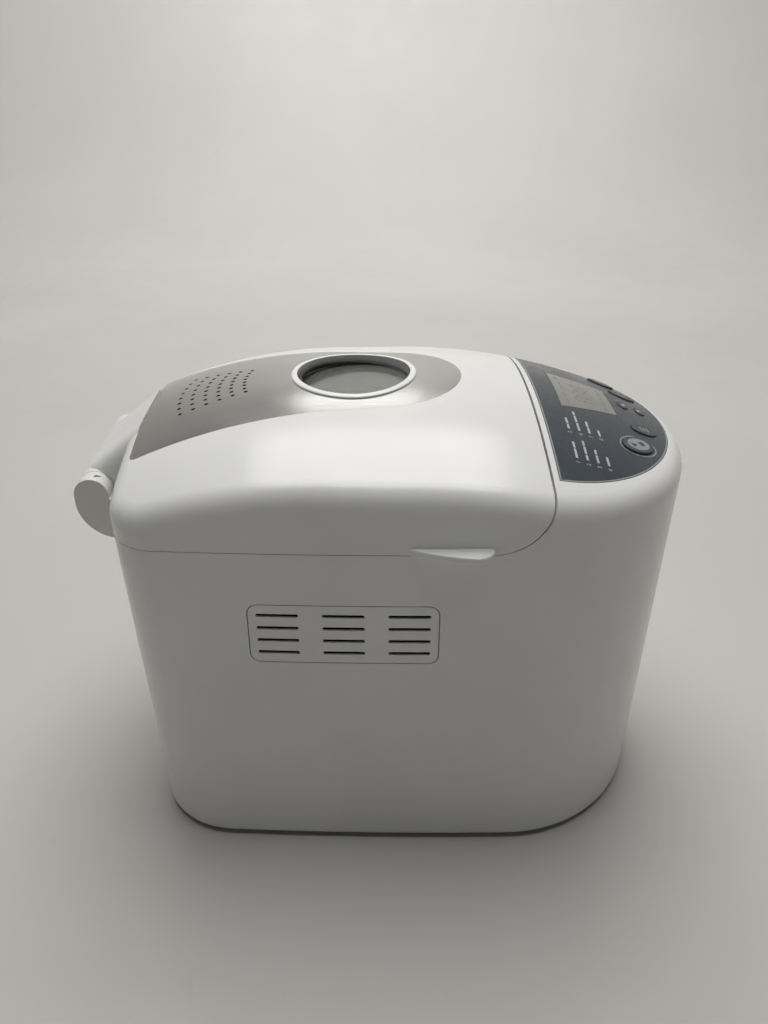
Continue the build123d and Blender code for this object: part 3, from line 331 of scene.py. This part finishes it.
def display_face(name):
    """Unlit liquid-crystal display: grey-green, slightly uneven, under a clear cover."""
    g = Graph(name)
    return g.shade(Base_Color=g.cloudy(30.0, 3.0, (0.232, 0.234, 0.212), (0.266, 0.268, 0.244)),
                   Roughness=g.patchy(80.0, 0.16, 0.26), IOR=1.5,
                   Normal=g.bump(g.noise(900.0), 0.006, 0.4))


def ink(name, color, rough=0.42):
    """Screen-printed ink with uneven cover."""
    g = Graph(name)
    return g.shade(Base_Color=g.cloudy(700.0, 3.0, *shades(color, 0.10)),
                   Roughness=g.patchy(300.0, rough, rough + 0.15),
                   Normal=g.bump(g.noise(2200.0), 0.008, 0.5))


def studio_floor(name):
    """Matt pale board with faint scuffs. Far out it glows, so that it melts into the backdrop."""
    g = Graph(name)
    board = g.cloudy(2.2, 5.0, (0.530, 0.520, 0.498), (0.570, 0.560, 0.538))
    scuff = g.patchy(38.0, 0.0, 0.25, 7.0, 0.66, 0.80)
    reach = g.add("ShaderNodeVectorMath", operation="LENGTH")
    g.tree.links.new(g.place, reach.inputs[0])
    glow = g.spread(reach.outputs["Value"], 0.0, 0.36, 1.1, 5.0)
    return g.shade(Base_Color=g.tint(scuff, board, (0.44, 0.43, 0.41)),
                   Roughness=g.patchy(20.0, 0.55, 0.72), Normal=g.bump(g.noise(240.0, 4.0), 0.05, 0.3),
                   Emission_Color=(0.98, 0.96, 0.92, 1.0), Emission_Strength=glow)


WHITE = (0.80, 0.80, 0.79)
INK_WHITE = ink("ink_white", (0.46, 0.48, 0.50))
INK_SILVER = ink("ink_silver", (0.30, 0.31, 0.32), 0.30)
INK_DARK = ink("ink_dark", (0.075, 0.082, 0.092))
INK_GHOST = ink("ink_ghost", (0.215, 0.225, 0.197), 0.25)
# painted shade: near-black sheet material put behind openings where there is only shade
SHADE_SHEET = painted_shade_sheet("painted_shade_black")
DISPLAY = display_face("display_face")

# Each slot's material: its maker, then colour, roughness and the maker's other settings.
RECIPES = {
    "casing_white": (gloss_plastic, WHITE, 0.19),
    "lid_white": (gloss_plastic, WHITE, 0.19),
    "hinge_white": (gloss_plastic, (0.76, 0.755, 0.71), 0.30, 0.03),
    "grille_white": (gloss_plastic, WHITE, 0.20, 0.02, 0.3),
    "bezel_white": (gloss_plastic, (0.83, 0.83, 0.82), 0.10, 0.01),
    "panel_film": (panel_film,),
    "key_dark": (grained_plastic, (0.060, 0.068, 0.080), 0.30, 1400.0, 0.02),
    "key_start": (grained_plastic, (0.062, 0.070, 0.082), 0.28, 1400.0, 0.02),
    "inlay_steel": (inlay_steel,),
    "window_glass": (window_glass,),
    "seal_rubber": (rubber, (0.045, 0.045, 0.042), 0.55),
    "foot_rubber": (rubber, (0.20, 0.20, 0.195), 0.62),
    "steel_sheet": (sheet_metal, (0.56, 0.56, 0.55), 0.30, (1.0, 0.06, 1.0)),
    "aluminium_sheet": (sheet_metal, (0.72, 0.72, 0.71), 0.32, (1.0, 1.0, 0.06), 0.02, 0.18),
    "aluminium_cast": (cast_metal, (0.60, 0.60, 0.60), 0.38),
    "pan_coating": (pan_coating,),
    "shaft_steel": (sheet_metal, (0.58, 0.58, 0.57), 0.18, (1.0, 1.0, 8.0)),
    "screw_steel": (sheet_metal, (0.55, 0.55, 0.54), 0.24, (3.0, 3.0, 1.0)),
    "bush_bronze": (cast_metal, (0.52, 0.33, 0.16), 0.36),
    "heater_sheath": (sheet_metal, (0.21, 0.20, 0.19), 0.42, (1.0, 1.0, 1.0), 0.02, 0.6),
    "pulley_plastic": (grained_plastic, (0.62, 0.61, 0.57), 0.42),
    "belt_rubber": (rubber, (0.030, 0.030, 0.030), 0.60),
    "motor_steel": (sheet_metal, (0.40, 0.41, 0.42), 0.36, (1.0, 1.0, 4.0)),
    "board_green": (circuit_board,),
    "component_black": (grained_plastic, (0.028, 0.028, 0.029), 0.38),
    "capacitor_grey": (gloss_plastic, (0.34, 0.35, 0.36), 0.32, 0.03),
    "lcd_grey": (grained_plastic, (0.30, 0.31, 0.29), 0.34),
    "base_grey": (grained_plastic, (0.55, 0.55, 0.54), 0.46),
}
FINISHES = {slot: maker(slot, *settings) for slot, (maker, *settings) in RECIPES.items()}


def dress_nodes():
    """Puts the finished material on every CAD node, by the slot it already carries."""
    for node in NODES.values():
        for slot in node.material_slots:
            slot.material = FINISHES[slot.material.name.split(".")[0]]


# --- mesh objects --------------------------------------------------------------------------------
def mesh_object(name, points, faces, material, smooth):
    """A mesh object in the scene, from points in metres and faces."""
    mesh = bpy.data.meshes.new(name)
    mesh.from_pydata(points, [], faces)
    mesh.validate()
    mesh.update()
    for face in mesh.polygons:
        face.use_smooth = smooth
    mesh.materials.append(material)
    made = bpy.data.objects.new(name, mesh)
    bpy.context.scene.collection.objects.link(made)
    return made


def build(name, points, faces, material, body, smooth=True):
    """A piece of the machine that rides on a body."""
    piece = mesh_object(name, points, faces, material, smooth)
    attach(piece, body)


# --- printed marks that follow a curved host -----------------------------------------------------
class Host:
    """A CAD surface that marks are laid on, seen from above."""

    def __init__(self, node, body):
        mesh = NODES[node].data
        points = [v.co.copy() for v in mesh.vertices]
        self.tree = BVHTree.FromPolygons(points, [list(p.vertices) for p in mesh.polygons])
        self.body = body

    def point(self, x, y, lift):
        start = Vector((x, y, RAY_TOP)) * MM
        hit, normal, _, _ = self.tree.ray_cast(start, Vector((0, 0, -1)))
        if normal.z < 0:
            normal = -normal
        return hit + normal * (lift * MM)


def print_on(host, name, patches, material, layer=INK_LAYER):
    """Lays flat patches on a host as one thin closed piece. A patch is (points in mm, faces)."""
    lift, depth = layer
    points, faces = [], []
    for spots, loops in patches:
        base = len(points)
        count = len(spots)
        points += [host.point(x, y, lift) for x, y in spots]
        points += [host.point(x, y, lift - depth) for x, y in spots]
        faces += [tuple(base + i for i in loop) for loop in loops]
        faces += [tuple(base + count + i for i in reversed(loop)) for loop in loops]
        edges = dict.fromkeys(edge for loop in loops for edge in zip(loop, loop[1:] + loop[:1]))
        faces += [(base + b, base + a, base + count + a, base + count + b)
                  for a, b in edges if (b, a) not in edges]
    build(name, points, faces, material, host.body, False)


def grid(width, depth, columns, rows, x, y):
    """Rectangle of quads about a middle."""
    spots = [(x + (i / columns - 0.5) * width, y + (j / rows - 0.5) * depth)
             for j in range(rows + 1) for i in range(columns + 1)]
    corners = [j * (columns + 1) + i for j in range(rows) for i in range(columns)]
    return spots, [(a, a + 1, a + columns + 2, a + columns + 1) for a in corners]


def oval_line(x, y, half_x, half_y, steps):
    """Points of an ellipse, counter-clockwise."""
    turns = [2 * math.pi * i / steps for i in range(steps)]
    return [(x + half_x * math.cos(t), y + half_y * math.sin(t)) for t in turns]


def oval(x, y, half_x, half_y):
    """Filled ellipse as rings of quads round a small middle polygon."""
    steps, rings = 40, 4
    spots = []
    for ring in range(1, rings + 1):
        spots += oval_line(x, y, half_x * ring / rings, half_y * ring / rings, steps)
    loops = [tuple(range(steps))]
    for ring in range(rings - 1):
        for i in range(steps):
            a, b = ring * steps + i, ring * steps + (i + 1) % steps
            loops.append((a, a + steps, b + steps, b))
    return spots, loops


def band(line, width):
    """Strip of a width along a closed line of points, laid to the line's left side."""
    spots, loops = [], []
    count = len(line)
    for i, (x, y) in enumerate(line):
        before, after = line[i - 1], line[(i + 1) % count]
        dx, dy = after[0] - before[0], after[1] - before[1]
        size = math.hypot(dx, dy)
        spots += [(x, y), (x - dy / size * width, y + dx / size * width)]
    for i in range(count):
        a, b = 2 * i, 2 * ((i + 1) % count)
        loops.append((a, b, b + 1, a + 1))
    return spots, loops


def polygon(*spots):
    """One face through a few points."""
    return list(spots), [tuple(range(len(spots)))]


def placed(patch, x, y, degrees):
    """A patch drawn about the origin, turned and moved to a place."""
    spots, loops = patch
    c, s = math.cos(math.radians(degrees)), math.sin(math.radians(degrees))
    return [(x + u * c - v * s, y + u * s + v * c) for u, v in spots], loops


def numeral(text, x, y, size):
    """Outline of a plain number as a patch, its left foot at a place."""
    curve = bpy.data.curves.new("numeral", "FONT")
    curve.body = text
    curve.size = size
    curve.resolution_u = 3
    maker = bpy.data.objects.new("numeral", curve)
    bpy.context.scene.collection.objects.link(maker)
    bpy.context.view_layer.update()
    mesh = bpy.data.meshes.new_from_object(maker)
    spots = [(x + v.co.x, y + v.co.y) for v in mesh.vertices]
    loops = [tuple(p.vertices) for p in mesh.polygons if p.area > 0]
    bpy.data.objects.remove(maker)
    bpy.data.curves.remove(curve)
    bpy.data.meshes.remove(mesh)
    return spots, loops


# --- control panel graphics ----------------------------------------------------------------------
def panel_border(inset):
    """The panel's outline a little inside its edge, counter-clockwise from its left end."""
    front_steps, rear_steps, halvings = 90, 40, 40
    half_x, half_y = PANEL_HALF_WIDTH - inset, PANEL_HALF_DEPTH - inset
    rear_radius = LID_BOW_RADIUS - LID_LIP - inset
    rear_center = LID_FRONT_Y - LID_BOW_RADIUS

    def on_front(turn):
        return half_x * math.cos(turn), PANEL_CENTER_Y + half_y * math.sin(turn)

    def on_rear(x):
        return x, rear_center + math.sqrt(rear_radius * rear_radius - x * x)

    low, high = math.pi, 1.5 * math.pi
    for _ in range(halvings):                # closes in on the left end, where front meets rear
        middle = (low + high) / 2
        x, y = on_front(middle)
        if y > on_rear(x)[1]:
            low = middle
        else:
            high = middle
    sweep = 3 * math.pi - 2 * high
    front = [on_front(high + sweep * i / front_steps) for i in range(front_steps + 1)]
    left, right = front[0][0], front[-1][0]
    return front + [on_rear(right + (left - right) * i / rear_steps) for i in range(1, rear_steps)]


def program_list(host):
    """Plain numbers 1 to 8 beside rows of short bars, in two columns behind the start key."""
    patches = []
    number = 1
    for x, rows in LIST_COLUMNS:
        for row, lengths in enumerate(rows):
            y = LIST_TOP_Y - LIST_ROW_STEP * row
            patches.append(numeral(str(number), x, y, NUMERAL_SIZE))
            left = x + BAR_START
            for length in lengths:
                patches.append(grid(length, MARK_HEIGHT, 4, 1, left + length / 2, y + BAR_RAISE))
                left += length + BAR_GAP
            number += 1
    print_on(host, "panel_program_list", patches, INK_WHITE)


def segment_digit(x, y):
    """The seven bars of one display digit."""
    width, height, bar = DIGIT_SIZE * 0.5, DIGIT_SIZE, DIGIT_SIZE * 0.12
    level = [grid(width - bar, bar, 1, 1, x, y + k * height / 2) for k in (1, 0, -1)]
    upright = [grid(bar, height / 2 - bar, 1, 1, x + side * width / 2, y + k * height / 4)
               for k in (1, -1) for side in (-1, 1)]
    return level + upright


def display_window(grow):
    """Trapezoid window, wider at the rear, grown on all sides."""
    spots, loops = grid(2.0, 1.0, 14, 12, 0.0, 0.5)
    low, high = LCD_FRONT_Y - grow, LCD_REAR_Y + grow
    shaped = []
    for u, share in spots:
        half = LCD_FRONT_HALF + (LCD_REAR_HALF - LCD_FRONT_HALF) * share + grow
        shaped.append((LCD_X + half * u, low + (high - low) * share))
    return shaped, loops


def display(host):
    """Display face, its printed surround and the unlit segments."""
    print_on(host, "display_surround", [display_window(LCD_SURROUND)], INK_DARK,
             SURROUND_LAYER)
    print_on(host, "display_face", [display_window(0.0)], DISPLAY, FACE_LAYER)
    middle = (LCD_FRONT_Y + LCD_REAR_Y) / 2
    marks = []
    for x in DIGIT_PLACES:
        marks += segment_digit(LCD_X + x, middle)
    marks += [grid(MARK_HEIGHT, MARK_HEIGHT, 1, 1, LCD_X + COLON_PLACE, middle + away)
              for away in (-COLON_HALF, COLON_HALF)]
    for away, length, places in MARK_ROWS:
        marks += [grid(length, MARK_HEIGHT, 1, 1, LCD_X + x, middle + away) for x in places]
    print_on(host, "display_segments", marks, INK_GHOST, SEGMENT_LAYER)


def start_key_ring(host):
    """Thin ring printed on the panel round the start key."""
    ring = band(oval_line(0.0, 0.0, *START_RING_HALF, 64), START_RING_WIDTH)
    print_on(host, "start_key_ring", [placed(ring, *KEYS["start_stop"])], INK_SILVER)


def key_sign(key, name, patches, material, layer=INK_LAYER):
    """Prints patches, drawn about the origin, on the middle of a key."""
    host = Host(f"button_{key}", f"key_{key}")
    print_on(host, name, [placed(patch, *KEYS[key]) for patch in patches], material, layer)


def key_signs():
    """Generic signs on the six keys."""
    key_sign("start_stop", "start_key_field", [oval(0.0, 0.0, *START_FIELD_HALF)], INK_SILVER)
    play = polygon((-5.4, -2.2), (-1.2, 0.0), (-5.4, 2.2))
    stop = grid(3.8, 3.8, 1, 1, 2.8, 0.0)
    key_sign("start_stop", "start_key_sign", [play, stop], INK_DARK,
             SIGN_ON_FIELD_LAYER)

    bars = [grid(1.0, 5.0, 1, 3, x, 0.0) for x in (-2.4, 0.0, 2.4)]
    key_sign("menu", "menu_key_sign", bars, INK_SILVER)

    rising = polygon((-2.1, -1.5), (2.1, -1.5), (0.0, 1.8))
    key_sign("time_up", "time_up_key_sign", [rising], INK_WHITE)
    falling = polygon((0.0, -1.8), (2.1, 1.5), (-2.1, 1.5))
    key_sign("time_down", "time_down_key_sign", [falling], INK_WHITE)

    dome = oval_line(0.0, 0.3, 3.4, 2.0, 28)[:15]
    loaf = dome + [(-2.8, -2.2), (2.8, -2.2)]
    key_sign("loaf_size", "loaf_key_sign", [band(loaf, 0.6)], INK_SILVER)
    growing = [grid(1.9, 1.2 + 1.1 * k, 1, 1, -3.0 + 3.0 * k, 0.0) for k in range(3)]
    key_sign("crust", "crust_key_sign", growing, INK_SILVER)


def control_panel():
    """Everything printed on the panel film and its keys."""
    host = Host("control_panel", "casing")
    edge = band(panel_border(EDGE_LINE_INSET), EDGE_LINE_WIDTH)
    print_on(host, "panel_edge_line", [edge], INK_SILVER)
    program_list(host)
    display(host)
    start_key_ring(host)
    key_signs()


# --- window gasket -------------------------------------------------------------------------------
def window_gasket():
    """Round-backed rubber ring inside the bezel, its rear a little higher than its front."""
    low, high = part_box("window_glass")
    center = (low + high) / 2
    lean, glass_half, steps = math.radians(2.4), 1.5, 96
    profile = [(35.5, 0.05), (35.5, 2.2), (35.2, 2.9), (34.4, 3.1), (33.5, 2.7), (33.0, 1.8),
               (32.9, 0.05)]                 # radius, and height over the glass at the middle
    count = len(profile)
    across = Vector((1, 0, 0))
    along = Vector((0, math.cos(lean), math.sin(lean)))
    up = across.cross(along)
    points, faces = [], []
    for i in range(steps):
        turn = 2 * math.pi * i / steps
        out = across * math.cos(turn) + along * math.sin(turn)
        points += [center + out * (r * MM) + up * ((h + glass_half) * MM) for r, h in profile]
        here, there = i * count, (i + 1) % steps * count
        for k in range(count):
            after = (k + 1) % count
            faces.append((here + k, here + after, there + after, there + k))
    build("window_gasket", points, faces, FINISHES["seal_rubber"], "lid")


# --- painted shade: near-black sheets behind the openings ----------------------------------------
def sheet(rows, shift):
    """Closed thin sheet: faces between a grid of points and the same grid shifted."""
    height, width = len(rows), len(rows[0])
    points = [p for row in rows for p in row]
    count = len(points)
    points += [p + shift for p in points]
    faces = []
    for j in range(height - 1):
        for i in range(width - 1):
            a = j * width + i
            faces.append((a, a + 1, a + width + 1, a + width))
            faces.append((count + a, count + a + width, count + a + width + 1, count + a + 1))
    ring = list(range(width)) + [j * width + width - 1 for j in range(1, height)]
    ring += [(height - 1) * width + i for i in range(width - 2, -1, -1)]
    ring += [j * width for j in range(height - 2, 0, -1)]
    faces += [(b, a, count + a, count + b) for a, b in zip(ring, ring[1:] + ring[:1])]
    return points, faces


def side_x(y, z, inside):
    """Place of a side wall's face, a distance inside its outer surface."""
    bow = SIDE_BOW_RADIUS - math.sqrt(SIDE_BOW_RADIUS ** 2 - (y - NOSE_CENTER_Y) ** 2)
    return HALF_WIDTH - (WIDEST_HEIGHT - z) * math.tan(math.radians(SIDE_DRAFT)) - bow - inside


def grille_gauze(name, hand):
    """Near-black sheet just inside a side grille's flange, painted shade behind its slots; hand is -1
    at -X and 1 at +X.
    """
    half_length, half_height, inside, thickness = 52.0, 17.0, 5.2, 0.4
    columns, levels = 16, 6
    rows = []
    for j in range(levels + 1):
        z = GRILLE_Z - half_height + 2 * half_height * j / levels
        places = [GRILLE_Y - half_length + 2 * half_length * i / columns for i in range(columns + 1)]
        rows.append([Vector((hand * side_x(y, z, inside), y, z)) * MM for y in places])
    points, faces = sheet(rows, Vector((-hand * thickness, 0, 0)) * MM)
    build(name, points, faces, SHADE_SHEET, "casing")


def crown_z(x, y):
    """Height of the lid's crown over a place."""
    across = CROWN_CROSS_RADIUS - math.sqrt(CROWN_CROSS_RADIUS ** 2 - x ** 2)
    run = max(0.0, y - CROWN_FLAT_REAR)
    along = math.sqrt(CROWN_REAR_RADIUS ** 2 - run ** 2)
    return CROWN_HEIGHT - across * along / CROWN_REAR_RADIUS - CROWN_REAR_RADIUS + along


def vent_shade_sheet():
    """Near-black sheet in the lid's steel sheet, seen through its small holes as painted shade."""
    margin, margin_angle, below, thickness = 3.0, 1.6, 0.35, 0.2
    arcs, half_columns = 12, 9
    first, last = VENT_ARC_FIRST - margin, VENT_ARC_LAST + margin
    half_angle = VENT_HALF_ANGLE + margin_angle
    rows = []
    for j in range(arcs + 1):
        radius = first + (last - first) * j / arcs
        row = []
        for i in range(-half_columns, half_columns + 1):
            turn = math.radians(half_angle * i / half_columns)
            x, y = radius * math.sin(turn), WINDOW_Y + radius * math.cos(turn)
            row.append(Vector((x, y, crown_z(x, y) - below)) * MM)
        rows.append(row)
    points, faces = sheet(rows, Vector((0, 0, -thickness)) * MM)
    build("vent_shade_sheet", points, faces, SHADE_SHEET, "lid")


# --- stage, light and camera ---------------------------------------------------------------------
def floor():
    """Plain board that sweeps up far behind the machine, on the side away from the camera."""
    near, far, half, bend, rise = -8.0, 1.5, 8.0, 0.9, 1.5
    flat_steps, bend_steps, cross_steps = 16, 16, 24
    profile = [(near + (far - near) * i / flat_steps, 0.0) for i in range(flat_steps + 1)]
    for i in range(1, bend_steps + 1):
        turn = math.pi / 2 * i / bend_steps
        profile.append((far + bend * math.sin(turn), bend * (1 - math.cos(turn))))
    profile.append((far + bend, bend + rise))
    row = cross_steps + 1
    points = [(x, -half + 2 * half * j / cross_steps, z) for x, z in profile for j in range(row)]
    faces = [(i * row + j, (i + 1) * row + j, (i + 1) * row + j + 1, i * row + j + 1)
             for i in range(len(profile) - 1) for j in range(cross_steps)]
    board = mesh_object("studio_floor", points, faces, studio_floor("studio_floor"), True)


def softbox(name, place, target, width, depth, power):
    """Rectangular lamp that faces a target."""
    data = bpy.data.lights.new(name, "AREA")
    data.shape = "RECTANGLE"
    data.size = width
    data.size_y = depth
    data.energy = power
    data.color = LAMP_COLOR
    lamp = bpy.data.objects.new(name, data)
    lamp.location = place
    lamp.rotation_mode = "QUATERNION"
    lamp.rotation_quaternion = (Vector(target) - Vector(place)).to_track_quat("-Z", "Y")
    bpy.context.scene.collection.objects.link(lamp)


def world_light():
    """Dim room light, with a pale backdrop where the sky itself is seen."""
    world = bpy.data.worlds.new("studio_world")
    world.use_nodes = True
    tree = world.node_tree
    room = tree.nodes["Background"]
    room.inputs["Color"].default_value = ROOM_COLOR
    room.inputs["Strength"].default_value = ROOM_STRENGTH
    seen = tree.nodes.new("ShaderNodeBackground")
    seen.inputs["Color"].default_value = BACKDROP_COLOR
    rays = tree.nodes.new("ShaderNodeLightPath")
    either = tree.nodes.new("ShaderNodeMixShader")
    tree.links.new(rays.outputs["Is Camera Ray"], either.inputs[0])
    tree.links.new(room.outputs[0], either.inputs[1])
    tree.links.new(seen.outputs[0], either.inputs[2])
    tree.links.new(either.outputs[0], tree.nodes["World Output"].inputs["Surface"])
    bpy.context.scene.world = world


def camera():
    """Stands at the machine's left side and looks down across it."""
    pitch, yaw = math.radians(CAMERA_PITCH), math.radians(CAMERA_YAW)
    ahead = Vector((math.cos(yaw) * math.cos(pitch), -math.sin(yaw) * math.cos(pitch),
                    -math.sin(pitch)))
    data = bpy.data.cameras.new("camera")
    data.sensor_width = CAMERA_SENSOR
    data.lens = CAMERA_LENS
    data.clip_start = 0.01
    data.clip_end = 60.0
    eye = bpy.data.objects.new("camera", data)
    eye.location = CAMERA_PLACE
    eye.rotation_euler = ahead.to_track_quat("-Z", "Y").to_euler()
    eye.rotation_euler.rotate_axis("Z", math.radians(CAMERA_ROLL))
    bpy.context.scene.collection.objects.link(eye)
    bpy.context.scene.camera = eye


dress_nodes()
control_panel()
window_gasket()
# painted shade: near-black sheets behind the grille slots and the lid's vent holes
grille_gauze("grille_shade_sheet_left", -1)
grille_gauze("grille_shade_sheet_right", 1)
vent_shade_sheet()
floor()
world_light()
for lamp_settings in LAMPS:
    softbox(*lamp_settings)
camera()
bpy.context.scene.view_settings.view_transform = "Standard"
